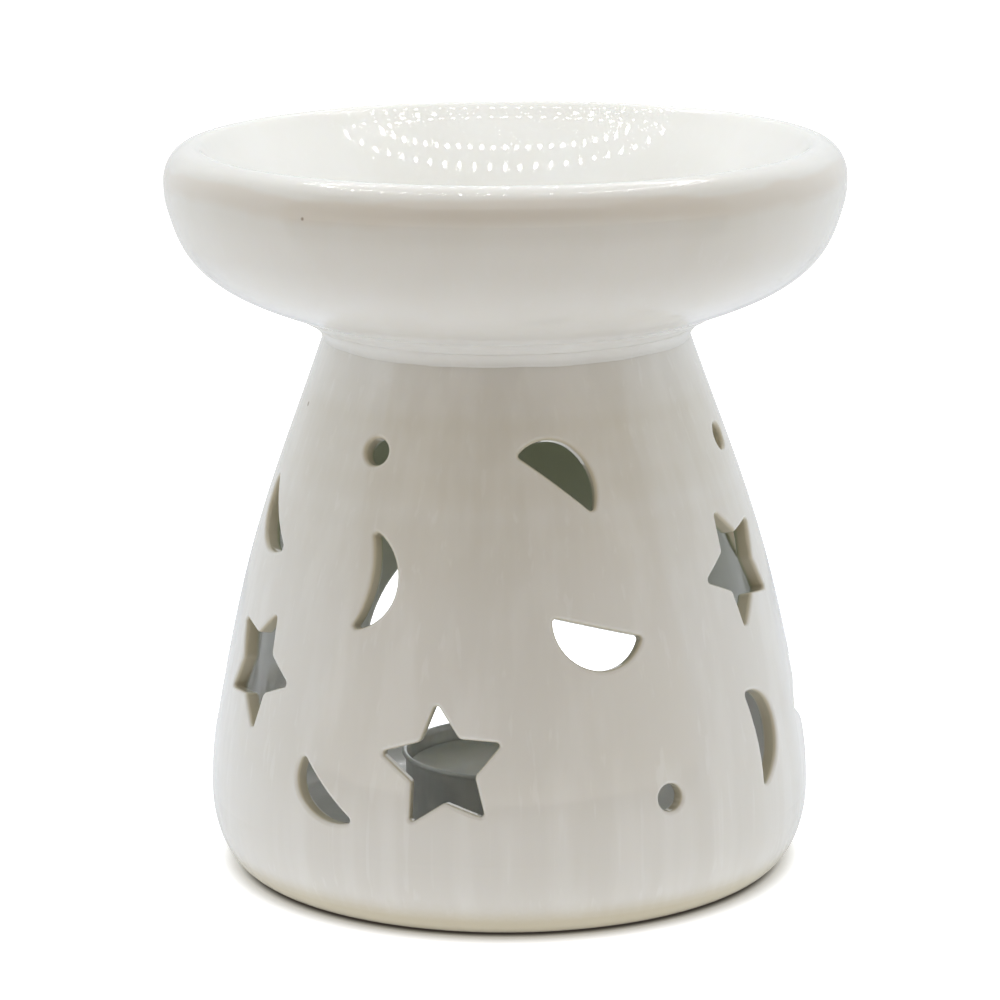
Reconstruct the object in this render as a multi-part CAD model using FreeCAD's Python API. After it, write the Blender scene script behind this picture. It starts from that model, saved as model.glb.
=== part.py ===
import FreeCAD, Part
import math
import os
from Part import ChFi2d

# A glazed ceramic tealight holder with an oil dish: a bell-shaped body with cut-outs, a shallow
# dish luted onto its neck, and the tealight that stands inside it. Millimetres, +Z up. The origin
# is on the axis in the plane of the foot, and the candle opening faces +Y. An azimuth is in
# degrees from -Y, the front, and grows towards +X.
Vector = FreeCAD.Vector
AXIS = Vector(0, 0, 1)

# Whole object
DISH_RADIUS = 60.0
TOTAL_HEIGHT = 130.0
WALL = 3.0

# Body, as a radius and a height at each place
FOOT_RADIUS = 46.5
FOOT_INNER_RADIUS = 42.0
FOOT_RECESS = 0.6
BELLY_RADIUS = 53.9
BELLY_HEIGHT = 13.8
NECK_RADIUS = 32.15
NECK_HEIGHT = 97.0
NECK_SLOPE = -0.34
BELL_POINTS = [
    (BELLY_RADIUS, BELLY_HEIGHT),
    (51.1, 34.9),
    (46.2, 56.1),
    (39.3, 77.2),
    (NECK_RADIUS, NECK_HEIGHT),
]
FLOOR_TOP = 3.3

# Candle opening at the back
ARCH_RADIUS = 27.2
ARCH_SPRING_HEIGHT = 24.9
SILL_HEIGHT = 6.8
SILL_CORNER_RADIUS = 5.0

# Hand-cut ornaments: stars as (azimuth, height, angle of one tip), crescents as (azimuth, height,
# direction of the bulge, span between the tips, bulge, skew of the bulge along the span, hollow)
# and holes as (azimuth, height). Angles lie in the plane of the wall, anticlockwise from the
# direction of growing azimuth.
STAR_TIP_RADIUS = 11.2
STAR_NOTCH_RADIUS = 5.8
STAR_TIPS = 5
STARS = [
    (-12.8, 30.4, 97.0),
    (-63.0, 41.0, -4.0),
    (62.8, 58.2, 182.0),
    (89.5, 30.0, 178.0),
    (-116.0, 66.0, 70.0),
    (127.0, 74.0, 100.0),
]
CRESCENTS = [
    (12.0, 76.7, 50.0, 16.0, 6.8, 1.5, 0.1),
    (19.1, 53.2, 254.0, 16.2, 7.3, 0.5, 0.1),
    (-33.9, 60.2, -5.0, 17.4, 7.0, -0.5, 2.2),
    (55.4, 28.9, 7.0, 17.2, 7.6, 1.5, 0.8),
    (-36.2, 24.6, 229.0, 15.0, 5.6, -1.5, 0.5),
    (-69.6, 67.2, 228.0, 16.8, 6.4, 0.0, 0.6),
    (-93.0, 30.0, 2.0, 15.0, 7.4, 0.5, 1.0),
    (-129.0, 38.0, 140.0, 16.2, 6.8, 0.8, 0.8),
    (104.0, 57.0, 300.0, 16.2, 6.8, -0.8, 0.8),
    (132.0, 42.0, 30.0, 16.2, 6.8, 0.5, 0.8),
]
HOLE_RADIUS = 2.35
HOLES = [(-36.2, 80.9), (31.2, 23.4), (74.5, 79.0), (-98.0, 54.0), (112.0, 36.0), (-108.0, 84.0)]
PUNCH_REACH = 8.0
TIP_ROUNDING = 0.6
NOTCH_ROUNDING = 1.2
OUTER_EDGE_ROUNDING = 0.7
INNER_EDGE_ROUNDING = 0.5
CUT_EDGE_HEIGHTS = (SILL_HEIGHT - 1.0, NECK_HEIGHT - 6.0)

# Oil dish
DISH_BASE_HEIGHT = 97.5
DISH_BASE_RADIUS = 26.0
DISH_WIDEST_HEIGHT = 123.9
LIP_CREST_RADIUS = 54.8
UNDERSIDE_POINTS = [
    (DISH_BASE_RADIUS, DISH_BASE_HEIGHT),
    (36.0, 99.8),
    (45.7, 103.5),
    (53.7, 108.5),
    (57.45, 113.6),
    (59.3, 118.8),
    (DISH_RADIUS, DISH_WIDEST_HEIGHT),
]
BOWL_POINTS = [
    (0.0, 103.0),
    (20.0, 103.9),
    (30.0, 106.2),
    (39.0, 112.0),
    (43.0, 116.7),
    (47.0, 121.7),
    (50.5, 125.8),
    (53.0, 128.9),
    (LIP_CREST_RADIUS, TOTAL_HEIGHT),
]
DISH_WALL = 3.5
HOLLOW_CREST = (53.3, 122.3)
HOLLOW_END_DIRECTION = (-1.0, -0.3)
THROAT_CHAMFER = 2.6

# Seam of slip that joins the dish to the neck
SEAM_DROP = 1.2
SEAM_REACH = 6.8
SEAM_INNER_INSET = 0.4
SEAM_OVERLAP = 0.06
SEAM_CREASE = 0.05

# Tealight
CUP_BASE_RADIUS = 18.3
CUP_TOP_RADIUS = 18.8
CUP_HEIGHT = 16.0
CUP_WALL = 0.25
CUP_RIM_BEAD = 0.45
WAX_CLEARANCE = 0.12
WAX_HEIGHT = 12.6
WAX_EDGE_RADIUS = 0.8
WICK_RADIUS = 0.75
WICK_TOP = 9.0
WICK_LEAN = 1.6
WICK_END_SLOPE = 0.45
SUSTAINER_RADIUS = 6.0
SUSTAINER_THICKNESS = 0.3
COLLAR_RADIUS = 1.35
COLLAR_HEIGHT = 3.2
POCKET_CLEARANCE = 0.08


def section_point(radius, height):
    return Vector(radius, 0, height)


def spline(points, start_tangent, end_tangent):
    """A smooth edge through (radius, height) points, with the directions it starts and ends in."""
    curve = Part.BSplineCurve()
    curve.interpolate(
        Points=[section_point(*point) for point in points],
        InitialTangent=section_point(*start_tangent),
        FinalTangent=section_point(*end_tangent),
    )
    return curve.toShape()


def polyline(points):
    return Part.makePolygon([section_point(*point) for point in points]).Edges


def quarter_ellipse(centre, half_width, half_height, from_degrees, to_degrees):
    """An arc of an ellipse in the section plane, its angles measured from +X towards +Z."""
    tall = half_height > half_width
    major, minor = max(half_width, half_height), min(half_width, half_height)
    ellipse = Part.Ellipse(Vector(0, 0, 0), major, minor)
    turn = 90.0 if tall else 0.0
    arc = Part.Arc(ellipse, math.radians(from_degrees - turn), math.radians(to_degrees - turn)).toShape()
    arc.rotate(Vector(0, 0, 0), AXIS, turn)
    arc.rotate(Vector(0, 0, 0), Vector(1, 0, 0), 90)
    arc.translate(section_point(*centre))
    return arc


def revolved(edges):
    """The solid swept by a closed section as it turns once about the axis."""
    wire = Part.Wire(Part.__sortEdges__(edges))
    return Part.Face(wire).revolve(Vector(0, 0, 0), AXIS, 360)


def crossing(outline, start, end):
    """Where an outline crosses the line through two section points, and its unit direction there."""
    curve = outline.Curve
    point = curve.intersect(Part.Line(section_point(*start), section_point(*end)))[0]
    place = Vector(point.X, point.Y, point.Z)
    return place, curve.tangent(curve.parameter(place))[0]


def bell():
    return spline(BELL_POINTS, (0, 1), (NECK_SLOPE, 1))


def bell_tangent(height):
    """The radius of the body's outline at a height, and its unit direction there, pointing up."""
    place, direction = crossing(bell(), (0, height), (1, height))
    return place.x, direction


def inset(points, start_tangent, end_tangent, depth):
    """An outline's points moved square to it by a depth, towards its left as it runs."""
    curve = spline(points, start_tangent, end_tangent).Curve
    moved = []
    for radius, height in points:
        along = curve.tangent(curve.parameter(section_point(radius, height)))[0]
        moved.append((radius - depth * along.z, height + depth * along.x))
    return moved


def bell_inside_points():
    return inset(BELL_POINTS, (0, 1), (NECK_SLOPE, 1), WALL)


def body_outside():
    lower = quarter_ellipse(
        (FOOT_RADIUS, BELLY_HEIGHT), BELLY_RADIUS - FOOT_RADIUS, BELLY_HEIGHT, 270, 360
    )
    top = polyline([(NECK_RADIUS, NECK_HEIGHT), (0, NECK_HEIGHT), (0, FOOT_RECESS)])
    under = polyline(
        [
            (0, FOOT_RECESS),
            (FOOT_INNER_RADIUS - FOOT_RECESS, FOOT_RECESS),
            (FOOT_INNER_RADIUS, 0),
            (FOOT_RADIUS, 0),
        ]
    )
    return revolved([lower, bell()] + top + under)


def body_inside():
    """The hollow: a flat floor, a cove, and the bell's outline one wall further in."""
    points = bell_inside_points()
    cove_width = points[0][0] - FOOT_RADIUS
    cove = quarter_ellipse(
        (FOOT_RADIUS, BELLY_HEIGHT), cove_width, BELLY_HEIGHT - FLOOR_TOP, 270, 360
    )
    wall = spline(points, (0, 1), (NECK_SLOPE, 1))
    top_radius, top_height = points[-1]
    above = NECK_HEIGHT + WALL
    mouth_radius = top_radius + NECK_SLOPE * (above - top_height)
    closing = polyline(
        [
            (top_radius, top_height),
            (mouth_radius, above),
            (0, above),
            (0, FLOOR_TOP),
            (FOOT_RADIUS, FLOOR_TOP),
        ]
    )
    return revolved([cove, wall] + closing)


def candle_arch():
    """The opening's prism: a half round on straight sides, with rounded corners at the sill."""
    side, corner = ARCH_RADIUS, SILL_CORNER_RADIUS
    diagonal = corner * (1 - math.sqrt(0.5))
    low = SILL_HEIGHT
    spring = ARCH_SPRING_HEIGHT
    outline = [
        Part.LineSegment(section_point(side - corner, low), section_point(corner - side, low)),
        Part.Arc(
            section_point(corner - side, low),
            section_point(diagonal - side, low + diagonal),
            section_point(-side, low + corner),
        ),
        Part.LineSegment(section_point(-side, low + corner), section_point(-side, spring)),
        Part.Arc(
            section_point(-side, spring),
            section_point(0, spring + side),
            section_point(side, spring),
        ),
        Part.LineSegment(section_point(side, spring), section_point(side, low + corner)),
        Part.Arc(
            section_point(side, low + corner),
            section_point(side - diagonal, low + diagonal),
            section_point(side - corner, low),
        ),
    ]
    face = Part.Face(Part.Wire([curve.toShape() for curve in outline]))
    return face.extrude(Vector(0, DISH_RADIUS, 0))


def polar(radius, degrees):
    angle = math.radians(degrees)
    return Vector(radius * math.cos(angle), radius * math.sin(angle), 0)


def rounded(edges, radii):
    """A closed flat outline whose corner after each edge is rounded by that edge's radius."""
    plane = Part.Plane(Vector(0, 0, 0), AXIS)
    edges = list(edges)
    corners = []
    for i, radius in enumerate(radii):
        after = (i + 1) % len(edges)
        if radius:
            corner = edges[i].Vertexes[-1].Point
            rounding = ChFi2d.FilletAlgo(edges[i], edges[after], plane)
            rounding.perform(radius)
            arc, edges[i], edges[after] = rounding.result(corner)
            corners.append(arc)
    return Part.Face(Part.Wire(Part.__sortEdges__(edges + corners)))


def star_outline(lean):
    step = 180.0 / STAR_TIPS
    corners = [
        polar(STAR_NOTCH_RADIUS if i % 2 else STAR_TIP_RADIUS, lean + i * step)
        for i in range(2 * STAR_TIPS)
    ]
    sides = Part.makePolygon(corners + corners[:1]).Edges
    return rounded(sides, [NOTCH_ROUNDING, TIP_ROUNDING] * STAR_TIPS)


def crescent_outline(direction, span, bulge, skew, hollow):
    """A half moon between two tips. It bulges towards +X before it is turned to its direction."""
    first, last = Vector(0, span / 2, 0), Vector(0, -span / 2, 0)
    crown = Vector(bulge, skew, 0)
    outer = [
        arc_leaving_upright(crown, first).toShape(),
        arc_leaving_upright(crown, last).toShape(),
    ]
    inner = Part.Arc(last, Vector(hollow, 0, 0), first).toShape()
    face = rounded(outer + [inner], [0, TIP_ROUNDING, TIP_ROUNDING])
    face.rotate(Vector(0, 0, 0), AXIS, direction)
    return face


def arc_leaving_upright(crown, tip):
    """The arc between a crescent's crown, where it runs parallel to the span, and a tip."""
    reach, rise = crown.x - tip.x, tip.y - crown.y
    radius = (reach * reach + rise * rise) / (2 * reach)
    centre = Vector(crown.x - radius, crown.y, 0)
    halfway = (crown - centre) + (tip - centre)
    middle = centre + halfway.normalize() * radius
    return Part.Arc(crown, middle, tip) if rise < 0 else Part.Arc(tip, middle, crown)


def hole_outline():
    """A round hole, as four quarters of its circle."""
    starts = [0, 90, 180, 270]
    centre = Vector(0, 0, 0)
    quarters = [Part.makeCircle(HOLE_RADIUS, centre, AXIS, start, start + 90) for start in starts]
    return Part.Face(Part.Wire(quarters))


def punch(outline, azimuth, height):
    """The outline's prism, stood square to the wall at an azimuth and a height."""
    radius, slope = bell_tangent(height)
    prism = outline.extrude(Vector(0, 0, 2 * PUNCH_REACH))
    prism.translate(Vector(0, 0, -PUNCH_REACH))
    angle = math.radians(azimuth)
    across = Vector(math.cos(angle), math.sin(angle), 0)
    outward = Vector(math.sin(angle), -math.cos(angle), 0)
    upward = outward * slope.x + AXIS * slope.z
    normal = across.cross(upward)
    place = outward * radius + AXIS * height
    prism.transformShape(
        FreeCAD.Matrix(
            across.x, upward.x, normal.x, place.x,
            across.y, upward.y, normal.y, place.y,
            across.z, upward.z, normal.z, place.z,
            0, 0, 0, 1,
        )
    )
    return prism


def outer_radius(height):
    if height > BELLY_HEIGHT:
        return bell_tangent(height)[0]
    drop = (BELLY_HEIGHT - height) / BELLY_HEIGHT
    return FOOT_RADIUS + (BELLY_RADIUS - FOOT_RADIUS) * math.sqrt(1 - drop * drop)


def cut_edges(body):
    """The edges that the cut-outs leave on the outer and on the inner skin of the wall."""
    lowest, highest = CUT_EDGE_HEIGHTS
    beside = {}
    for face in body.Faces:
        for edge in face.Edges:
            on_skin = isinstance(face.Surface, Part.SurfaceOfRevolution)
            beside.setdefault(edge.hashCode(), [edge]).append(on_skin)
    outer, inner = [], []
    for edge, *on_skin in beside.values():
        middle = edge.valueAt((edge.FirstParameter + edge.LastParameter) / 2)
        if sorted(on_skin) == [False, True] and lowest < middle.z < highest:
            depth = outer_radius(middle.z) - math.hypot(middle.x, middle.y)
            skin = outer if depth < WALL / 2 else inner
            skin.append(edge)
    return outer, inner


def body_shell():
    punches = [punch(star_outline(lean), azimuth, height) for azimuth, height, lean in STARS]
    punches += [
        punch(crescent_outline(*shape), azimuth, height)
        for azimuth, height, *shape in CRESCENTS
    ]
    punches += [punch(hole_outline(), azimuth, height) for azimuth, height in HOLES]
    body = body_outside().cut(body_inside()).cut([candle_arch()] + punches)
    body = body.makeFillet(OUTER_EDGE_ROUNDING, cut_edges(body)[0])
    return body.makeFillet(INNER_EDGE_ROUNDING, cut_edges(body)[1])


def underside():
    return spline(UNDERSIDE_POINTS, (1, 0), (0, 1))


def dish_outline():
    """The dish's visible section: its underside, the rolled lip and the bowl."""
    lip = quarter_ellipse(
        (LIP_CREST_RADIUS, DISH_WIDEST_HEIGHT),
        DISH_RADIUS - LIP_CREST_RADIUS,
        TOTAL_HEIGHT - DISH_WIDEST_HEIGHT,
        0,
        90,
    )
    return [underside(), lip, spline(BOWL_POINTS, (1, 0), (1, 0))]


def dish_hollow():
    """The space between the dish's two walls, which opens downwards into the body's neck.

    Its two sides stop short of the lip, which is solid, and meet over a rounded crest."""
    above = inset(BOWL_POINTS, (1, 0), (1, 0), -DISH_WALL)[:-3]
    below = inset(UNDERSIDE_POINTS, (1, 0), (0, 1), DISH_WALL)[1:-1]
    outline = spline(above + [HOLLOW_CREST] + below[::-1], (1, 0), HOLLOW_END_DIRECTION)
    throat = NECK_RADIUS - DISH_WALL
    low = DISH_BASE_HEIGHT - DISH_WALL
    closing = polyline(
        [
            below[0],
            (throat, below[0][1] - THROAT_CHAMFER),
            (throat, low),
            (0, low),
            above[0],
        ]
    )
    return revolved([outline] + closing)


def oil_dish():
    closing = polyline([BOWL_POINTS[0], (0, DISH_BASE_HEIGHT), UNDERSIDE_POINTS[0]])
    return revolved(dish_outline() + closing).cut(dish_hollow())


def neck_seam(body, dish):
    """The layer of slip between rim and dish, with the fillet it squeezes out around the neck."""
    low = NECK_HEIGHT - SEAM_DROP
    reach = NECK_RADIUS + SEAM_REACH
    inner = bell_inside_points()[-1][0] + SEAM_INNER_INSET
    tucked = NECK_RADIUS - SEAM_INNER_INSET
    start = (NECK_RADIUS - NECK_SLOPE * SEAM_DROP, low)
    meeting, along = crossing(underside(), (reach, 0), (reach, 1))
    above = meeting.z + SEAM_OVERLAP
    corner = (start[0], above - (reach - start[0]) * (along.z / along.x + SEAM_CREASE))
    curve = Part.BezierCurve()
    curve.setPoles([section_point(*point) for point in (start, corner, (reach, above))])
    closing = polyline(
        [
            (reach, above),
            (inner, above),
            (inner, NECK_HEIGHT),
            (tucked, NECK_HEIGHT),
            (tucked, low),
            start,
        ]
    )
    return revolved([curve.toShape()] + closing).cut([body, dish])


def tealight_cup():
    """The pressed cup, its wall leaning outwards to a rolled bead. It stands on the floor."""
    lean = (CUP_TOP_RADIUS - CUP_BASE_RADIUS) / CUP_HEIGHT
    outer = [(0, 0), (CUP_BASE_RADIUS, 0), (CUP_TOP_RADIUS, CUP_HEIGHT)]
    inner = [
        (CUP_TOP_RADIUS - CUP_WALL, CUP_HEIGHT),
        (CUP_BASE_RADIUS - CUP_WALL + lean * CUP_WALL, CUP_WALL),
        (0, CUP_WALL),
        (0, 0),
    ]
    shell = revolved(polyline(outer + inner))
    bead = Part.makeTorus(CUP_TOP_RADIUS + CUP_RIM_BEAD - CUP_WALL, CUP_RIM_BEAD)
    bead.translate(Vector(0, 0, CUP_HEIGHT - CUP_RIM_BEAD))
    bore = Part.makeCone(
        CUP_TOP_RADIUS - CUP_WALL - lean * 2 * CUP_RIM_BEAD,
        CUP_TOP_RADIUS - CUP_WALL,
        2 * CUP_RIM_BEAD,
    )
    bore.translate(Vector(0, 0, CUP_HEIGHT - 2 * CUP_RIM_BEAD))
    return shell.fuse(bead.cut(bore)).removeSplitter()


def wick_path():
    """From the sustainer's base up through the wax, then leaning a little above it."""
    straight = Part.LineSegment(Vector(0, 0, 0), Vector(0, 0, WAX_HEIGHT)).toShape()
    free = Part.BSplineCurve()
    free.interpolate(
        Points=[Vector(0, 0, WAX_HEIGHT), Vector(WICK_LEAN, 0, WAX_HEIGHT + WICK_TOP)],
        InitialTangent=Vector(0, 0, 1),
        FinalTangent=Vector(WICK_END_SLOPE, 0, 1),
    )
    return Part.Wire([straight, free.toShape()])


def tealight_wick():
    section = Part.Wire(Part.makeCircle(WICK_RADIUS))
    return wick_path().makePipeShell([section], True, False)


def wick_sustainer():
    disc = Part.makeCylinder(SUSTAINER_RADIUS, SUSTAINER_THICKNESS)
    collar = Part.makeCylinder(COLLAR_RADIUS, COLLAR_HEIGHT)
    return disc.fuse(collar).removeSplitter().cut(Part.makeCylinder(WICK_RADIUS, COLLAR_HEIGHT))


def tealight_wax():
    """A cake of wax with a softened top edge, hollowed for the wick and its sustainer."""
    lean = (CUP_TOP_RADIUS - CUP_BASE_RADIUS) / CUP_HEIGHT
    base = CUP_BASE_RADIUS - CUP_WALL - WAX_CLEARANCE
    top = base + lean * WAX_HEIGHT
    cake = Part.makeCone(base, top, WAX_HEIGHT)
    top_face = max(cake.Faces, key=lambda face: face.CenterOfMass.z)
    cake = cake.makeFillet(WAX_EDGE_RADIUS, top_face.Edges)
    hollows = [
        Part.makeCylinder(WICK_RADIUS, WAX_HEIGHT),
        Part.makeCylinder(COLLAR_RADIUS + POCKET_CLEARANCE, COLLAR_HEIGHT + POCKET_CLEARANCE),
        Part.makeCylinder(
            SUSTAINER_RADIUS + POCKET_CLEARANCE, SUSTAINER_THICKNESS + POCKET_CLEARANCE
        ),
    ]
    return cake.cut(hollows)


def raised(shape, height):
    shape.translate(Vector(0, 0, height))
    return shape


def main():
    body = body_shell()
    dish = oil_dish()
    candle_height = FLOOR_TOP + CUP_WALL
    nodes = {
        "body_shell": body,
        "oil_dish": dish,
        "neck_seam": neck_seam(body, dish),
        "tealight_cup": raised(tealight_cup(), FLOOR_TOP),
        "tealight_wax": raised(tealight_wax(), candle_height),
        "tealight_wick": raised(tealight_wick(), candle_height),
        "wick_sustainer": raised(wick_sustainer(), candle_height),
    }
    os.makedirs("parts", exist_ok=True)
    for name, shape in nodes.items():
        solids = shape.Solids
        print(name, len(solids), "solid", round(sum(s.Volume for s in solids), 2), shape.isValid())
        solids[0].exportStep("parts/" + name + ".step")


main()
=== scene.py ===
import math

import bmesh
import bpy
import numpy as np
from mathutils import Euler, Matrix, Vector

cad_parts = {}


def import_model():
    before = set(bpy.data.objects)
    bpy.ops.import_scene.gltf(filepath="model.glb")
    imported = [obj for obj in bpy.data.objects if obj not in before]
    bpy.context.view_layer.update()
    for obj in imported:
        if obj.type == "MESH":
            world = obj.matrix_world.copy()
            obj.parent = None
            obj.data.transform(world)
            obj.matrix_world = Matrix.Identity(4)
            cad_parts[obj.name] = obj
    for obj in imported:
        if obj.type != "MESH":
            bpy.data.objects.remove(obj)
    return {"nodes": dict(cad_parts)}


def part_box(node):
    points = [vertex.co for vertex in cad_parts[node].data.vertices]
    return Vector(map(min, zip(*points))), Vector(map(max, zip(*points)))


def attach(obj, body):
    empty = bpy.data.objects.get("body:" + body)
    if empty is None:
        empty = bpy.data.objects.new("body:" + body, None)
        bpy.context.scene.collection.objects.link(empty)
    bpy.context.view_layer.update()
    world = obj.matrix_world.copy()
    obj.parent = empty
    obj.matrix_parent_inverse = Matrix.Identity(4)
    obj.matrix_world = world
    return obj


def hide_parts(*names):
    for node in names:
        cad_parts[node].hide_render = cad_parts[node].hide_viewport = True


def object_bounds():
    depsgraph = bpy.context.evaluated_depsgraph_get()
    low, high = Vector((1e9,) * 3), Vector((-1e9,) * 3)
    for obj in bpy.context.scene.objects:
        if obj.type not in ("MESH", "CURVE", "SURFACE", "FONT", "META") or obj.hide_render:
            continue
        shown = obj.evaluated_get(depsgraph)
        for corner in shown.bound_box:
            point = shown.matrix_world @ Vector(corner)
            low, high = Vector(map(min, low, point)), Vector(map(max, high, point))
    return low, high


# A glazed ceramic tealight holder on a white sweep, lit like the inside of a small light box.
# Metres. The holder stands on its foot at the origin and is seen from -Y.
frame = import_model()
cad_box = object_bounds()
LOW, HIGH = Vector(cad_box[0]), Vector(cad_box[1])
MM = 0.001

# Camera: lens over sensor gives the field of view, and the aim is on the holder's axis
CAMERA_DISTANCE = 0.71644
CAMERA_ELEVATION = 12.9
CAMERA_ROLL = 0.39
CAMERA_LENS = 144.0
CAMERA_SHIFT = -0.0075
AIM_HEIGHT = 0.0652

# Light box: the lamp panel is overhead and a little behind the holder, and the front is open.
# Each ring of LEDs is (radius, count). The walls glow more towards the top.
LAMP_HEIGHT = 0.365
LAMP_CENTRE_Y = 0.095
LAMP_POWER = 0.28
LED_RINGS = [(0.1455, 48), (0.1275, 64)]
LED_RADIUS = 0.0022
LED_GLOW = 60.0
BOX_HALF_WIDTH = 0.200
BOX_FRONT_Y = -0.080
BOX_BACK_Y = 0.290
CEILING_FRONT_Y = -0.330
WALL_GLOW_LOW = 0.80
WALL_GLOW_HIGH = 1.00
BACK_GLOW = 0.84
BACK_SOFT = 0.35
LED_TINT = (1.0, 0.99, 0.97)
WALL_TINT = (0.97, 0.99, 1.0)

# The room beyond the open front: a pale table low down, then the dim room, darkest in the middle
ROOM_LOW = (0.92, 0.84, 0.70)
ROOM_SIDE = (0.42, 0.35, 0.26)
ROOM_MIDDLE = (0.12, 0.08, 0.04)
ROOM_RISE = (-0.05, 0.18)
ROOM_ASIDE = (0.27, 0.63)

# The floor, by distance from the axis: it lights the glaze out to FLOOR_LIT, the camera sees its
# glow fade in over FLOOR_FADE, and a contact shadow is painted dark into its colour against the foot
FLOOR_REACH = 3.0
FLOOR_COLOUR = (0.88, 0.90, 0.94)
PAINTED_SHADOW_COLOUR = (0.12, 0.11, 0.11)
FLOOR_LIGHT = 0.46
FLOOR_LIT = (0.12, 0.36)
FLOOR_SHEEN = 0.10
FLOOR_FADE = (0.0480, 0.0565)
FLOOR_PAINTED_SHADOW = (0.0477, 0.0500)


# ---------------------------------------------------------------- node helpers


class Nodes:
    """Builds one node tree, with short calls for the nodes that the materials share."""

    def __init__(self, tree):
        self.tree = tree
        tree.nodes.clear()

    def add(self, kind, inputs=None, **settings):
        node = self.tree.nodes.new(kind)
        for name, value in settings.items():
            setattr(node, name, value)
        for name, value in (inputs or {}).items():
            self.put(value, node.inputs[name])
        return node

    def put(self, value, socket):
        """Links an output to a socket, or sets the socket to a plain value."""
        if isinstance(value, bpy.types.NodeSocket):
            self.tree.links.new(value, socket)
        elif socket.type == "RGBA" and len(value) == 3:
            socket.default_value = (*value, 1.0)
        else:
            socket.default_value = value

    def math(self, operation, first, second=0.0):
        return self.add("ShaderNodeMath", {0: first, 1: second}, operation=operation).outputs[0]

    def product(self, first, *others):
        """The product of any number of values."""
        for other in others:
            first = self.math("MULTIPLY", first, other)
        return first

    def vector(self, operation, first, inputs=None):
        """A vector sum that gives a vector, with any further inputs by name or number."""
        node = self.add("ShaderNodeVectorMath", {0: first, **(inputs or {})}, operation=operation)
        return node.outputs[0]

    def span(self, value, low, high, to_low=0.0, to_high=1.0, smooth=True):
        """Maps a range of value to another range, held at both ends."""
        kind = "SMOOTHSTEP" if smooth else "LINEAR"
        node = self.add(
            "ShaderNodeMapRange",
            {"Value": value, "From Min": low, "From Max": high, "To Min": to_low, "To Max": to_high},
            interpolation_type=kind,
        )
        return node.outputs["Result"]

    def mix(self, share, first, second):
        """Blends two colours or directions: a share of 0 gives the first and 1 the second."""
        node = self.add("ShaderNodeMix", data_type="RGBA")
        for value, index in ((share, 0), (first, 6), (second, 7)):
            self.put(value, node.inputs[index])
        return node.outputs[2]

    def noise(self, place, scale, detail=2.0, roughness=0.5):
        node = self.add(
            "ShaderNodeTexNoise",
            {"Vector": place, "Scale": scale, "Detail": detail, "Roughness": roughness},
        )
        return node.outputs["Fac"]

    def stretched(self, place, scale):
        node = self.add("ShaderNodeMapping", {"Vector": place, "Scale": scale})
        return node.outputs["Vector"]

    def bump(self, height, distance, strength=1.0, normal=None):
        inputs = {"Height": height, "Distance": distance, "Strength": strength}
        if normal is not None:
            inputs["Normal"] = normal
        return self.add("ShaderNodeBump", inputs).outputs["Normal"]

    def object_place(self):
        return self.add("ShaderNodeTexCoord").outputs["Object"]


def new_material(name):
    material = bpy.data.materials.new(name)
    material.use_nodes = True
    return material, Nodes(material.node_tree)


def finish_surface(nodes, **inputs):
    """A Principled surface with the given inputs, as the material's output."""
    surface = nodes.add("ShaderNodeBsdfPrincipled", {k.replace("_", " "): v for k, v in inputs.items()})
    nodes.add("ShaderNodeOutputMaterial", {"Surface": surface.outputs[0]})


# ---------------------------------------------------------------- measurements from the frame


def node_points(node):
    """A CAD node's vertices at rest, as an array."""
    mesh = frame["nodes"][node].data
    points = np.empty(len(mesh.vertices) * 3)
    mesh.vertices.foreach_get("co", points)
    return points.reshape(-1, 3)


def outer_profile(node, count):
    """The node's greatest radius at evenly spaced heights, as (height, radius) pairs."""
    points = node_points(node)
    radii = np.hypot(points[:, 0], points[:, 1])
    edges = np.linspace(points[:, 2].min(), points[:, 2].max(), count + 1)
    profile = []
    for low, high in zip(edges[:-1], edges[1:]):
        inside = (points[:, 2] >= low) & (points[:, 2] <= high)
        profile.append(((low + high) / 2, radii[inside].max()))
    return profile


def bowl_slopes(node, lip_low, spacing):
    """The slope of the dish's top at each radius, from the node's own points: along the bowl, which
    only rises, and then down over the lip. As (radius, slope) pairs."""
    points = node_points(node)
    radii = np.hypot(points[:, 0], points[:, 1])
    crest = radii[points[:, 2].argmax()]
    kept = [(0.0, points[radii < spacing, 2].max())]
    for i in np.argsort(radii):
        radius, height = radii[i], points[i, 2]
        on_top = height >= kept[-1][1] if radius <= crest else height > lip_low
        if on_top and radius - kept[-1][0] >= spacing:
            kept.append((radius, height))
    steps, heights = np.array(kept).T
    return list(zip(steps, np.gradient(heights, steps)))


# ---------------------------------------------------------------- glaze


GLAZE = (0.81, 0.805, 0.775)
# The dish and the seam wear the body's glaze, painted lighter as painted light on them
GLAZE_DISH_PAINTED_LIT = (0.89, 0.89, 0.86)
GLAZE_SEAM_PAINTED_LIT = (0.87, 0.87, 0.845)
GLAZE_RUN = (0.90, 0.905, 0.89)
GLAZE_CLOUD = (0.74, 0.725, 0.665)
GLAZE_LIP = (0.80, 0.74, 0.66)
# Thin glaze on the cut edges, also painted darker at the foot as contact shade
GLAZE_THIN_AND_FOOT_SHADE = (0.63, 0.58, 0.44)
# The inside wall, painted darker olive as shade inside the bell
GLAZE_INSIDE_SHADE = (0.50, 0.53, 0.38)
GLAZE_FLOOR = (0.84, 0.84, 0.83)
BISQUE = (0.60, 0.53, 0.44)
SPECK = (0.20, 0.12, 0.06)

# Noise drawn out along Z: runs of thicker glaze, fine threads in them, and folds in the gloss
RUN_SCALE = (170, 170, 9)
THREAD_SCALE = (640, 640, 16)
FOLD_SCALE = (130, 130, 12)
CLOUD_SCALE = 28.0
WAVER_SCALE = 40.0
PATCH_SCALE = 41.0
SPECK_SCALE = 95.0
RIPPLE_SCALE = 150.0
RIPPLE_DEPTH = 0.04 * MM
FOLD_DEPTH = 0.25 * MM
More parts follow.
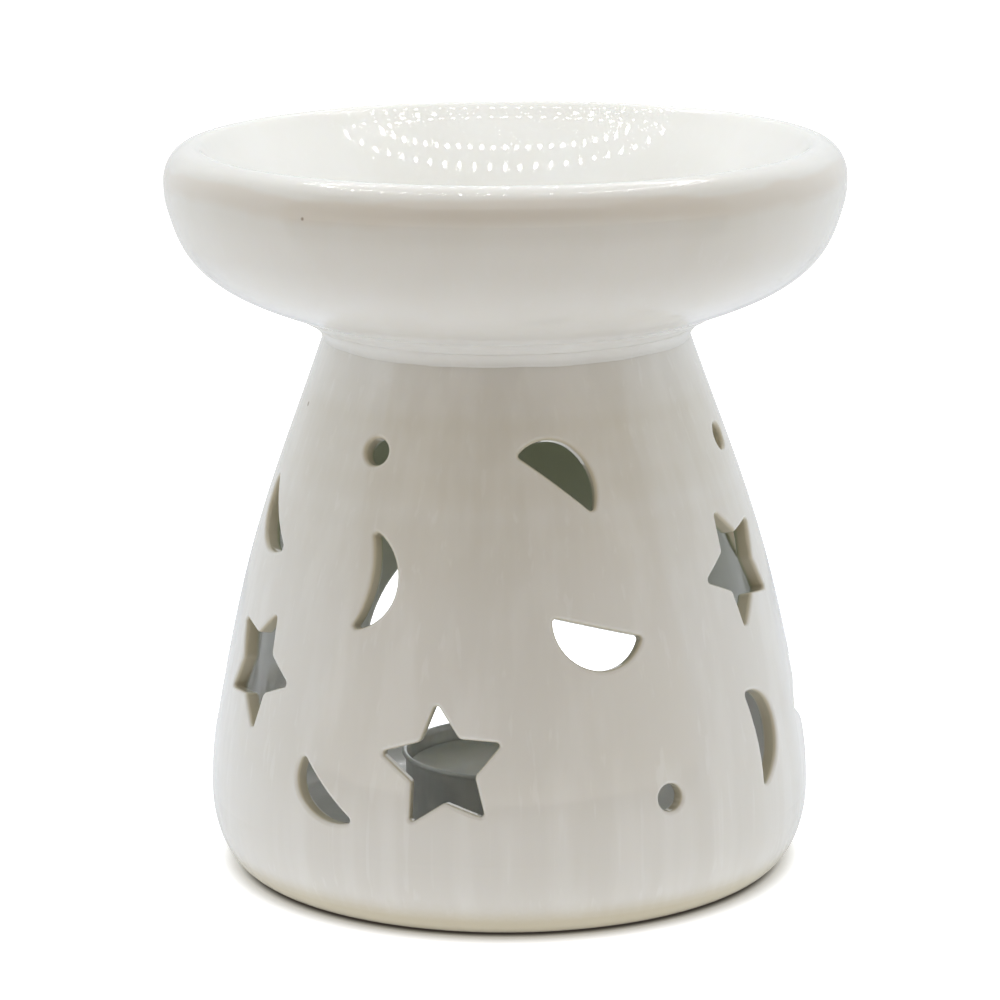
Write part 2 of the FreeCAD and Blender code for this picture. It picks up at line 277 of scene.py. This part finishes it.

# Body: wall thickness, the depth over which glaze thins on a cut edge, and the heights between which
# the inside goes from the pale floor to the wall painted darker as shade inside the bell
WALL = 3.0 * MM
CUT_EDGE = (0.30 * MM, 0.75 * MM)
INSIDE_SHADE_RISE = (0.018, 0.065)

# Foot: the heights over which the glaze thins and is painted darker as contact shade, and the clay is bare
FOOT_THIN_AND_SHADE = (0.2 * MM, 1.0 * MM)
FOOT_BARE = (0.05 * MM, 0.25 * MM)

# Dish lip: the warmer band's heights and soft edges, the radii over which it starts, how much it
# wavers and shows, and the height down to which the lip's slope is known. Slopes are read this far
# apart, up to the steepest.
LIP_BAND = (0.1225, 0.1280)
LIP_SOFT_BELOW = 2.5 * MM
LIP_SOFT_ABOVE = 1.0 * MM
LIP_OUTSIDE = (0.054, 0.056)
LIP_WAVER = 0.9 * MM
LIP_STRENGTH = 0.5
LIP_LOW = 0.1246
SLOPE_SPACING = 0.7 * MM
STEEPEST = 4.0


def float_curve(n, value, pairs):
    """A curve through (value, result) pairs, with values and results between 0 and 1."""
    curve = n.add("ShaderNodeFloatCurve", {"Value": value})
    points = curve.mapping.curves[0].points
    points[0].location = pairs[0]
    points[1].location = pairs[-1]
    for pair in pairs[1:-1]:
        points.new(*pair)
    curve.mapping.update()
    return curve.outputs[0]


def fired_smooth(n, place, radius, slopes):
    """The dish's shading normal, from its slope at each radius, so that reflections run true. The
    underside and the lip below the last slope keep the mesh's own normal."""
    pairs = [(r / HIGH.x, 0.5 + slope / (2 * STEEPEST)) for r, slope in slopes]
    share = float_curve(n, n.math("DIVIDE", radius, HIGH.x), pairs)
    slope = n.math("MULTIPLY", n.math("SUBTRACT", share, 0.5), 2 * STEEPEST)
    outwards = n.vector("NORMALIZE", n.vector("MULTIPLY", place, {1: (1, 1, 0)}))
    lean = n.vector("SCALE", outwards, {"Scale": n.math("MULTIPLY", slope, -1.0)})
    worked = n.vector("NORMALIZE", n.vector("ADD", lean, {1: (0, 0, 1)}))
    own = n.add("ShaderNodeNewGeometry").outputs["Normal"]
    upward = n.span(n.add("ShaderNodeSeparateXYZ", {0: own}).outputs["Z"], 0.05, 0.15)
    last = slopes[-1][0]
    known = n.span(radius, last - 1.5 * MM, last - 0.3 * MM, 1.0, 0.0)
    return n.vector("NORMALIZE", n.mix(n.product(upward, known), own, worked))


def lip_band(n, colour, place, z, radius):
    """The glaze has drawn back from the outside of the lip, in an uneven warmer band."""
    waver = n.span(n.noise(place, WAVER_SCALE), 0.3, 0.7, -1.0, 1.0)
    level = n.math("ADD", z, n.math("MULTIPLY", waver, LIP_WAVER))
    above = n.span(level, LIP_BAND[0], LIP_BAND[0] + LIP_SOFT_BELOW)
    below = n.span(level, LIP_BAND[1] - LIP_SOFT_ABOVE, LIP_BAND[1], 1.0, 0.0)
    outside = n.span(radius, *LIP_OUTSIDE)
    return n.mix(n.product(above, below, outside, LIP_STRENGTH), colour, GLAZE_LIP)


def specks(n, colour, place):
    """Tiny iron specks, in a few patches."""
    cells = n.add("ShaderNodeTexVoronoi", {"Vector": place, "Scale": SPECK_SCALE}, feature="F1")
    patches = n.span(n.noise(place, PATCH_SCALE), 0.60, 0.62)
    dots = n.span(cells.outputs["Distance"], 0.030, 0.055, 1.0, 0.0)
    return n.mix(n.product(dots, patches, 0.8), colour, SPECK)


def cut_and_inside(n, colour, z, radius, profile):
    """Thin warm glaze on the cut edges, then the inside by depth below the profile: a pale floor, and a
    wall painted darker olive as shade inside the bell.
    """
    pairs = [(height / HIGH.z, outer / HIGH.x) for height, outer in profile]
    outer = n.math("MULTIPLY", float_curve(n, n.math("DIVIDE", z, HIGH.z), pairs), HIGH.x)
    depth = n.math("SUBTRACT", outer, radius)
    edge = n.span(depth, *CUT_EDGE, 0.0, 0.85)
    past = n.span(depth, WALL - 0.5 * MM, WALL + 0.1 * MM)
    # Painted shade: the inside wall darkens to olive above the pale floor
    inside = n.mix(n.span(z, *INSIDE_SHADE_RISE), GLAZE_FLOOR, GLAZE_INSIDE_SHADE)
    return n.mix(past, n.mix(edge, colour, GLAZE_THIN_AND_FOOT_SHADE), inside)


def glaze_material(name, tint, ripple_strength, coat, profile=None, slopes=None):
    """White glaze over clay: vertical runs, clouds, tiny specks, a rippled gloss coat, and bare clay
    at the foot, under thinner glaze painted darker as contact shade. An outer profile gives the cut
    edges their thin glaze and the inside a wall painted darker as shade. The dish's slopes give it a
    lip band and a true shading normal."""
    material, n = new_material(name)
    place = n.object_place()
    x, y, z = n.add("ShaderNodeSeparateXYZ", {0: place}).outputs
    radius = n.math("SQRT", n.math("ADD", n.math("MULTIPLY", x, x), n.math("MULTIPLY", y, y)))

    runs = n.noise(n.stretched(place, RUN_SCALE), 1.0, 3.0)
    threads = n.noise(n.stretched(place, THREAD_SCALE), 1.0)
    colour = n.mix(n.span(runs, 0.42, 0.66, 0.0, 0.45), tint, GLAZE_RUN)
    colour = n.mix(n.span(n.noise(place, CLOUD_SCALE), 0.40, 0.70, 0.0, 0.22), colour, GLAZE_CLOUD)
    colour = n.mix(n.span(threads, 0.60, 0.72, 0.0, 0.35), colour, GLAZE_RUN)
    if slopes:
        colour = lip_band(n, colour, place, z, radius)
    colour = specks(n, colour, place)
    if profile:
        colour = cut_and_inside(n, colour, z, radius, profile)
    # Thinner glaze at the foot, painted darker as contact shade
    colour = n.mix(n.span(z, *FOOT_THIN_AND_SHADE, 0.4, 0.0), colour, GLAZE_THIN_AND_FOOT_SHADE)
    bare = n.span(z, *FOOT_BARE, 1.0, 0.0)
    colour = n.mix(bare, colour, BISQUE)

    smooth = fired_smooth(n, place, radius, slopes) if slopes else None
    folds = n.noise(n.stretched(place, FOLD_SCALE), 1.0)
    ripple = n.bump(n.noise(place, RIPPLE_SCALE), RIPPLE_DEPTH, ripple_strength, smooth)
    ripple = n.bump(folds, FOLD_DEPTH, ripple_strength, ripple)
    finish_surface(
        n,
        Base_Color=colour,
        Roughness=n.span(bare, 0.0, 1.0, 0.30, 0.85),
        IOR=1.5,
        Specular_IOR_Level=0.1,
        Normal=ripple,
        Coat_Weight=n.math("MULTIPLY", n.math("SUBTRACT", 1.0, bare), coat),
        Coat_Roughness=0.035,
        Coat_IOR=1.52,
        Coat_Normal=ripple,
        Subsurface_Weight=0.12,
        Subsurface_Radius=(1.0, 0.8, 0.55),
        Subsurface_Scale=0.0016,
    )
    return material


# ---------------------------------------------------------------- tealight materials


# Each material's duller and lighter colour
FOIL = ((0.74, 0.75, 0.76), (0.85, 0.85, 0.85))
WAX = ((0.90, 0.88, 0.83), (0.95, 0.94, 0.91))
COTTON = ((0.70, 0.65, 0.53), (0.90, 0.87, 0.79))
TINPLATE = ((0.50, 0.50, 0.49), (0.68, 0.68, 0.67))


def aluminium_material():
    """Thin pressed aluminium: drawing lines up the wall, soft dents and uneven polish."""
    material, n = new_material("pressed_aluminium")
    place = n.object_place()
    lines = n.noise(n.stretched(place, (900, 900, 12)), 1.0, 2.0)
    dents = n.noise(place, 160.0, 2.0)
    colour = n.mix(n.span(dents, 0.3, 0.7), *FOIL)
    bump = n.bump(lines, 0.03 * MM, 0.4)
    bump = n.bump(dents, 0.30 * MM, 0.4, bump)
    roughness = n.span(lines, 0.3, 0.7, 0.34, 0.50)
    finish_surface(n, Base_Color=colour, Metallic=1.0, Roughness=roughness, Normal=bump)
    return material


def wax_material():
    """Paraffin wax: translucent, mottled by its crystals, with a dull skin."""
    material, n = new_material("paraffin_wax")
    place = n.object_place()
    crystals = n.noise(place, 420.0, 4.0, 0.6)
    clouds = n.noise(place, 90.0, 2.0)
    colour = n.mix(n.span(clouds, 0.35, 0.65), *WAX)
    finish_surface(
        n,
        Base_Color=colour,
        Roughness=n.span(crystals, 0.35, 0.65, 0.32, 0.55),
        Normal=n.bump(crystals, 0.06 * MM, 0.4),
        Subsurface_Weight=0.7,
        Subsurface_Radius=(1.0, 0.85, 0.65),
        Subsurface_Scale=0.003,
    )
    return material


def cotton_material():
    """Waxed cotton yarn: fine fibres along the strands, a little yellowed."""
    material, n = new_material("waxed_cotton")
    place = n.object_place()
    fibres = n.noise(n.stretched(place, (5200, 5200, 900)), 1.0, 3.0, 0.6)
    colour = n.mix(n.span(fibres, 0.3, 0.7), *COTTON)
    roughness = n.span(fibres, 0.3, 0.7, 0.70, 0.92)
    bump = n.bump(fibres, 0.05 * MM, 0.7)
    finish_surface(n, Base_Color=colour, Roughness=roughness, Normal=bump, Sheen_Weight=0.3)
    return material


def tinplate_material():
    """Stamped tinplate: dull grey with fine scratches."""
    material, n = new_material("stamped_tinplate")
    place = n.object_place()
    scratches = n.noise(n.stretched(place, (2400, 160, 900)), 1.0, 3.0)
    colour = n.mix(n.span(scratches, 0.35, 0.65), *TINPLATE)
    roughness = n.span(scratches, 0.35, 0.65, 0.28, 0.48)
    bump = n.bump(scratches, 0.02 * MM, 0.6)
    finish_surface(n, Base_Color=colour, Metallic=1.0, Roughness=roughness, Normal=bump)
    return material


# ---------------------------------------------------------------- pieces


def dress(node, material):
    """Gives a CAD node a material through its object's own slots."""
    for slot in frame["nodes"][node].material_slots:
        slot.link = "OBJECT"
        slot.material = material


def new_piece(name, mesh, material, node, body, crease_degrees):
    """A finished piece from a bmesh. It stands for a CAD node and rides on that node's body."""
    bmesh.ops.recalc_face_normals(mesh, faces=mesh.faces)
    data = bpy.data.meshes.new(name)
    mesh.to_mesh(data)
    mesh.free()
    data.shade_smooth()
    data.set_sharp_from_angle(angle=math.radians(crease_degrees))
    data.materials.append(material)
    piece = bpy.data.objects.new(name, data)
    bpy.context.collection.objects.link(piece)
    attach(piece, body)
    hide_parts(node)


def joined_rings(mesh, rings, closed):
    """Quads between neighbouring rings of vertices, and from the last ring to the first if closed."""
    pairs = list(zip(rings, rings[1:] + rings[:1])) if closed else list(zip(rings, rings[1:]))
    for ring, after in pairs:
        count = len(ring)
        for i in range(count):
            mesh.faces.new((ring[i], ring[(i + 1) % count], after[(i + 1) % count], after[i]))


def lathe(section, segments, drift):
    """A ring swept about the axis. The section is a closed outline of (radius, height) in metres,
    and drift(angle, radius, height) gives the hand-made or pressed unevenness at each point."""
    mesh = bmesh.new()
    rings = []
    for i in range(segments):
        angle = 2 * math.pi * i / segments
        ring = []
        for radius, height in section:
            more_radius, more_height = drift(angle, radius, height)
            r, z = radius + more_radius, height + more_height
            ring.append(mesh.verts.new((r * math.sin(angle), -r * math.cos(angle), z)))
        rings.append(ring)
    joined_rings(mesh, rings, closed=True)
    return mesh


def arc(centre_radius, centre_height, radius, from_degrees, to_degrees, steps):
    """Points of a circular arc in the section plane, angles from +radius towards +height."""
    points = []
    for i in range(steps + 1):
        angle = math.radians(from_degrees + (to_degrees - from_degrees) * i / steps)
        points.append((centre_radius + radius * math.cos(angle), centre_height + radius * math.sin(angle)))
    return points


def neck_seam():
    """The slip that lutes the dish to the neck, smoothed by hand: its lower edge wanders a little.
    Its hidden side is tucked into the dish and the body, so that no gap shows."""
    skin = 0.14 * MM
    wander_out, wander_up, wander_reach = 0.03 * MM, 0.16 * MM, 2.5 * MM
    outline = outer_profile("neck_seam", 24)
    foot_height, foot_radius = outline[0]
    lower = [
        (foot_radius - 0.5 * MM, foot_height - 0.1 * MM),
        (foot_radius - 0.02 * MM, foot_height - 0.45 * MM),
        (foot_radius + 0.15 * MM, foot_height - 0.2 * MM),
    ]
    outer = []
    for (height, radius), (next_height, next_radius) in zip(outline[:-1], outline[1:]):
        rise, spread = next_height - height, next_radius - radius
        share = skin / math.hypot(rise, spread)
        outer.append((radius + rise * share, height - spread * share))
    top_radius, top_height = outer[-1]
    inner = [
        (top_radius + 0.6 * MM, top_height + 0.55 * MM),
        (top_radius - 2.0 * MM, top_height + 0.6 * MM),
        (foot_radius + 0.5 * MM, foot_height + 3.4 * MM),
        (foot_radius - 1.0 * MM, foot_height + 1.6 * MM),
    ]

    def wander(angle, radius, height):
        low = max(0.0, 1.0 - (height - foot_height) / wander_reach)
        wave = math.sin(3 * angle + 0.6) + 0.7 * math.sin(7 * angle + 2.1) + 0.4 * math.sin(17 * angle)
        return wander_out * low * wave, wander_up * low * wave

    mesh = lathe(lower + outer + inner, 256, wander)
    new_piece("neck_seam_slip", mesh, seam_glaze, "neck_seam", "holder", 75.0)


def tealight_cup():
    """The pressed cup: a flat base, a leaning wall with faint pleats, and a rolled rim."""
    low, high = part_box("tealight_cup")
    z0, z1 = low[2], high[2]
    rim = high[0]
    bead = 0.45 * MM
    wall = 0.25 * MM
    centre = 0.1 * MM
    pleat = 0.035 * MM
    pleat_count = 64
    outside = [
        (centre, z0),
        (0.86 * rim, z0 + 0.02 * MM),
        (rim - 1.55 * MM, z0),
        (rim - 1.22 * MM, z0 + 0.12 * MM),
        (rim - 1.07 * MM, z0 + 0.5 * MM),
        (rim - 1.02 * MM, z0 + 1.2 * MM),
        (rim - 0.86 * MM, z0 + 6.0 * MM),
        (rim - 0.72 * MM, z1 - 5.0 * MM),
        (rim - 0.66 * MM, z1 - 1.4 * MM),
    ]
    roll = arc(rim - bead, z1 - bead, bead, -120, 150, 10)
    inside = [(r - wall, max(z, z0 + wall)) for r, z in reversed(outside[1:])]
    section = outside + roll + inside + [(centre, z0 + wall)]

    def pleats(angle, radius, height):
        up = min(1.0, max(0.0, (height - z0 - 1.0 * MM) / (6.0 * MM)))
        fade = min(1.0, max(0.0, (z1 - 1.2 * MM - height) / (3.0 * MM)))
        return pleat * up * fade * math.cos(pleat_count * angle), 0.0

    mesh = lathe(section, 512, pleats)
    new_piece("tealight_cup_pressed", mesh, aluminium, "tealight_cup", "tealight_can", 50.0)


def tealight_wax():
    """The poured cake: dished by shrinkage, with a meniscus up the wick and up the cup's wall."""
    low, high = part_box("tealight_wax")
    z0, top = low[2], high[2]
    edge = high[0]
    gap = 0.08 * MM
    sustainer_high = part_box("wick_sustainer")[1]
    disc, collar_top = sustainer_high[0] + gap, sustainer_high[2] + gap
    disc_top = z0 + 0.38 * MM
    collar = 1.43 * MM
    hole = 0.7 * MM
    ripple = 0.04 * MM
    section = [
        (edge - 0.25 * MM, z0),
        (edge - 0.02 * MM, z0 + 0.4 * MM),
        (edge, top - 1.0 * MM),
        (edge - 0.05 * MM, top - 0.25 * MM),
        (edge - 0.25 * MM, top - 0.08 * MM),
        (edge - 0.8 * MM, top - 0.45 * MM),
        (edge - 2.0 * MM, top - 0.75 * MM),
        (edge - 5.0 * MM, top - 0.95 * MM),
        (6.0 * MM, top - 0.90 * MM),
        (2.5 * MM, top - 0.60 * MM),
        (1.4 * MM, top - 0.25 * MM),
        (0.9 * MM, top),
        (hole, top + 0.1 * MM),
        (hole, collar_top),
        (collar, collar_top),
        (collar, disc_top),
        (disc, disc_top),
        (disc, z0),
    ]

    def ripples(angle, radius, height):
        inside = math.sin(math.pi * min(1.0, radius / edge)) if height > top - 1.2 * MM else 0.0
        wave = math.sin(5 * angle + 900 * radius) + 0.6 * math.sin(9 * angle - 1400 * radius + 1.0)
        return 0.0, ripple * inside * wave

    mesh = lathe(section, 160, ripples)
    new_piece("tealight_wax_cake", mesh, wax, "tealight_wax", "candle", 55.0)


def tealight_wick():
    """Three yarns twisted together, leaning over a little above the wax."""
    low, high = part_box("tealight_wick")
    wax_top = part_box("tealight_wax")[1][2]
    wick_radius = 0.75 * MM
    lean = high[0] - wick_radius
    yarn, apart, twist = 0.38 * MM, 0.36 * MM, 5.0 * MM
    steps, sides = 150, 12
    foot, tip = low[2], high[2]
    mesh = bmesh.new()
    for strand in range(3):
        rings = []
        for i in range(steps + 1):
            height = foot + (tip - foot) * i / steps
            free = max(0.0, (height - wax_top) / (tip - wax_top))
            turn = 2 * math.pi * (height / twist + strand / 3)
            bend = lean * free**1.6
            centre = Vector((bend + apart * math.cos(turn), apart * math.sin(turn), height))
            taper = yarn * (1.0 - 0.35 * max(0.0, free - 0.92) / 0.08)
            ring = []
            for k in range(sides):
                around = 2 * math.pi * k / sides
                offset = Vector((taper * math.cos(around), taper * math.sin(around), 0))
                ring.append(mesh.verts.new(centre + offset))
            rings.append(ring)
        joined_rings(mesh, rings, closed=False)
        mesh.faces.new(rings[0])
        mesh.faces.new(rings[-1])
    new_piece("tealight_wick_twist", mesh, cotton, "tealight_wick", "candle", 60.0)


body_profile = outer_profile("body_shell", 40)
dish_slopes = bowl_slopes("oil_dish", LIP_LOW, SLOPE_SPACING)
seam_glaze = glaze_material("seam_glaze", GLAZE_SEAM_PAINTED_LIT, 0.5, 0.35)
aluminium = aluminium_material()
wax = wax_material()
cotton = cotton_material()
dress("body_shell", glaze_material("body_glaze", GLAZE, 1.0, 1.0, profile=body_profile))
dress("oil_dish", glaze_material("dish_glaze", GLAZE_DISH_PAINTED_LIT, 0.02, 1.0, slopes=dish_slopes))
dress("wick_sustainer", tinplate_material())
neck_seam()
tealight_cup()
tealight_wax()
tealight_wick()


# ---------------------------------------------------------------- floor, lights and camera


def stage_plane(name, corners, material, camera=False, shadow=False):
    """A flat panel of the set. The camera sees through all of them but the floor."""
    data = bpy.data.meshes.new(name)
    data.from_pydata(corners, [], [(0, 1, 2, 3)])
    panel = bpy.data.objects.new(name, data)
    bpy.context.collection.objects.link(panel)
    data.materials.append(material)
    panel.visible_camera = camera
    panel.visible_shadow = shadow


def floor():
    """A white sweep. For the camera it glows away from the foot and shows its own shading near it, with a
    contact shadow painted dark into its colour at the foot's edge. It lights the glaze from below, and is
    mirrored less brightly."""
    material, n = new_material("white_sweep")
    rays = n.add("ShaderNodeLightPath").outputs
    distance = n.add("ShaderNodeVectorMath", {0: n.object_place()}, operation="LENGTH").outputs["Value"]
    # Painted contact shadow: the floor's own colour darkens at the foot's edge
    contact = n.span(distance, *FLOOR_PAINTED_SHADOW)
    diffuse = n.add("ShaderNodeBsdfDiffuse", {"Color": n.mix(contact, PAINTED_SHADOW_COLOUR, FLOOR_COLOUR)})
    shown = n.span(distance, *FLOOR_FADE)
    lit = n.span(distance, *FLOOR_LIT, FLOOR_LIGHT, 0.0)
    mirrored = n.math("MULTIPLY", lit, FLOOR_SHEEN)
    strength = n.mix(rays["Is Camera Ray"], n.mix(rays["Is Glossy Ray"], lit, mirrored), shown)
    glow = n.add("ShaderNodeEmission", {"Strength": strength})
    both = n.add("ShaderNodeAddShader", {0: diffuse.outputs[0], 1: glow.outputs[0]})
    n.add("ShaderNodeOutputMaterial", {"Surface": both.outputs[0]})
    far, z = FLOOR_REACH, LOW.z
    corners = [(-far, -far, z), (far, -far, z), (far, far, z), (-far, far, z)]
    stage_plane("floor", corners, material, camera=True, shadow=True)


def box_cloth(name, low_glow, high_glow, soft=1.0):
    """White cloth lit from behind, brighter towards the lamp. Only the soft share of its glow
    falls on matt surfaces, and the glaze mirrors all of it."""
    material, n = new_material(name)
    height = n.add("ShaderNodeSeparateXYZ", {0: n.object_place()}).outputs["Z"]
    strength = n.span(height, 0.0, LAMP_HEIGHT, low_glow, high_glow, False)
    matt = n.add("ShaderNodeLightPath").outputs["Is Diffuse Ray"]
    strength = n.math("MULTIPLY", strength, n.span(matt, 0.0, 1.0, 1.0, soft))
    glow = n.add("ShaderNodeEmission", {"Color": WALL_TINT, "Strength": strength})
    n.add("ShaderNodeOutputMaterial", {"Surface": glow.outputs[0]})
    return material


def light_box():
    """The box's glowing side walls, back wall and ceiling, as reflections and soft light."""
    material = box_cloth("side_cloth", WALL_GLOW_LOW, WALL_GLOW_HIGH)
    back_material = box_cloth("back_cloth", WALL_GLOW_LOW, BACK_GLOW, BACK_SOFT)
    w, front, back = BOX_HALF_WIDTH, BOX_FRONT_Y, BOX_BACK_Y
    low, high = LOW.z, LAMP_HEIGHT + 2.0 * MM
    for side in (-w, w):
        corners = [(side, front, low), (side, back, low), (side, back, high), (side, front, high)]
        stage_plane("side_wall", corners, material)
    corners = [(-w, back, low), (w, back, low), (w, back, high), (-w, back, high)]
    stage_plane("back_wall", corners, back_material)
    top_front = CEILING_FRONT_Y
    corners = [(-w, top_front, high), (w, top_front, high), (w, back, high), (-w, back, high)]
    stage_plane("ceiling", corners, material)


def world():
    """The dim warm room in front of the box. The camera sees white all round instead."""
    scene_world = bpy.data.worlds.new("room")
    bpy.context.scene.world = scene_world
    scene_world.use_nodes = True
    n = Nodes(scene_world.node_tree)
    seen = n.add("ShaderNodeLightPath").outputs["Is Camera Ray"]
    direction = n.add("ShaderNodeTexCoord").outputs["Generated"]
    across, _, up = n.add("ShaderNodeSeparateXYZ", {0: direction}).outputs
    aside = n.span(n.math("ABSOLUTE", across), *ROOM_ASIDE)
    dim = n.mix(aside, ROOM_MIDDLE, ROOM_SIDE)
    colour = n.mix(n.span(up, *ROOM_RISE), ROOM_LOW, dim)
    colour = n.mix(seen, colour, (1.0, 1.0, 1.0))
    background = n.add("ShaderNodeBackground", {"Color": colour, "Strength": 1.0})
    n.add("ShaderNodeOutputWorld", {"Surface": background.outputs[0]})


def lamp():
    """The soft light of the lamp panel. Its image in the glaze is the rings of LEDs."""
    data = bpy.data.lights.new("lamp", "AREA")
    data.shape = "DISK"
    data.size = 2 * LED_RINGS[0][0]
    data.energy = LAMP_POWER
    light = bpy.data.objects.new("lamp", data)
    light.location = (0, LAMP_CENTRE_Y, LAMP_HEIGHT)
    light.visible_camera = False
    light.visible_glossy = False
    bpy.context.collection.objects.link(light)


def led_rings():
    """The lamp panel's rings of small LEDs, seen only as reflections in the glaze."""
    mesh = bmesh.new()
    for ring_radius, count in LED_RINGS:
        for i in range(count):
            angle = 2 * math.pi * i / count
            x = ring_radius * math.cos(angle)
            y = LAMP_CENTRE_Y + ring_radius * math.sin(angle)
            place = Matrix.Translation((x, y, LAMP_HEIGHT))
            bmesh.ops.create_icosphere(mesh, subdivisions=1, radius=LED_RADIUS, matrix=place)
    data = bpy.data.meshes.new("led_rings")
    mesh.to_mesh(data)
    mesh.free()
    rings = bpy.data.objects.new("led_rings", data)
    bpy.context.collection.objects.link(rings)
    material, n = new_material("led_glow")
    material.cycles.emission_sampling = "NONE"
    glow = n.add("ShaderNodeEmission", {"Color": LED_TINT, "Strength": LED_GLOW})
    n.add("ShaderNodeOutputMaterial", {"Surface": glow.outputs[0]})
    data.materials.append(material)
    rings.visible_camera = False
    rings.visible_diffuse = False
    rings.visible_shadow = False


def camera():
    data = bpy.data.cameras.new("camera")
    data.lens = CAMERA_LENS
    data.shift_x = CAMERA_SHIFT
    data.clip_start = 0.01
    eye = bpy.data.objects.new("camera", data)
    elevation = math.radians(CAMERA_ELEVATION)
    eye.location = (
        0,
        -CAMERA_DISTANCE * math.cos(elevation),
        AIM_HEIGHT + CAMERA_DISTANCE * math.sin(elevation),
    )
    tilt = Euler((math.pi / 2 - elevation, 0, 0)).to_matrix()
    roll = Euler((0, 0, -math.radians(CAMERA_ROLL))).to_matrix()
    eye.rotation_euler = (tilt @ roll).to_euler()
    bpy.context.collection.objects.link(eye)
    bpy.context.scene.camera = eye


floor()
world()
light_box()
lamp()
led_rings()
camera()
bpy.context.scene.view_settings.view_transform = "Standard"
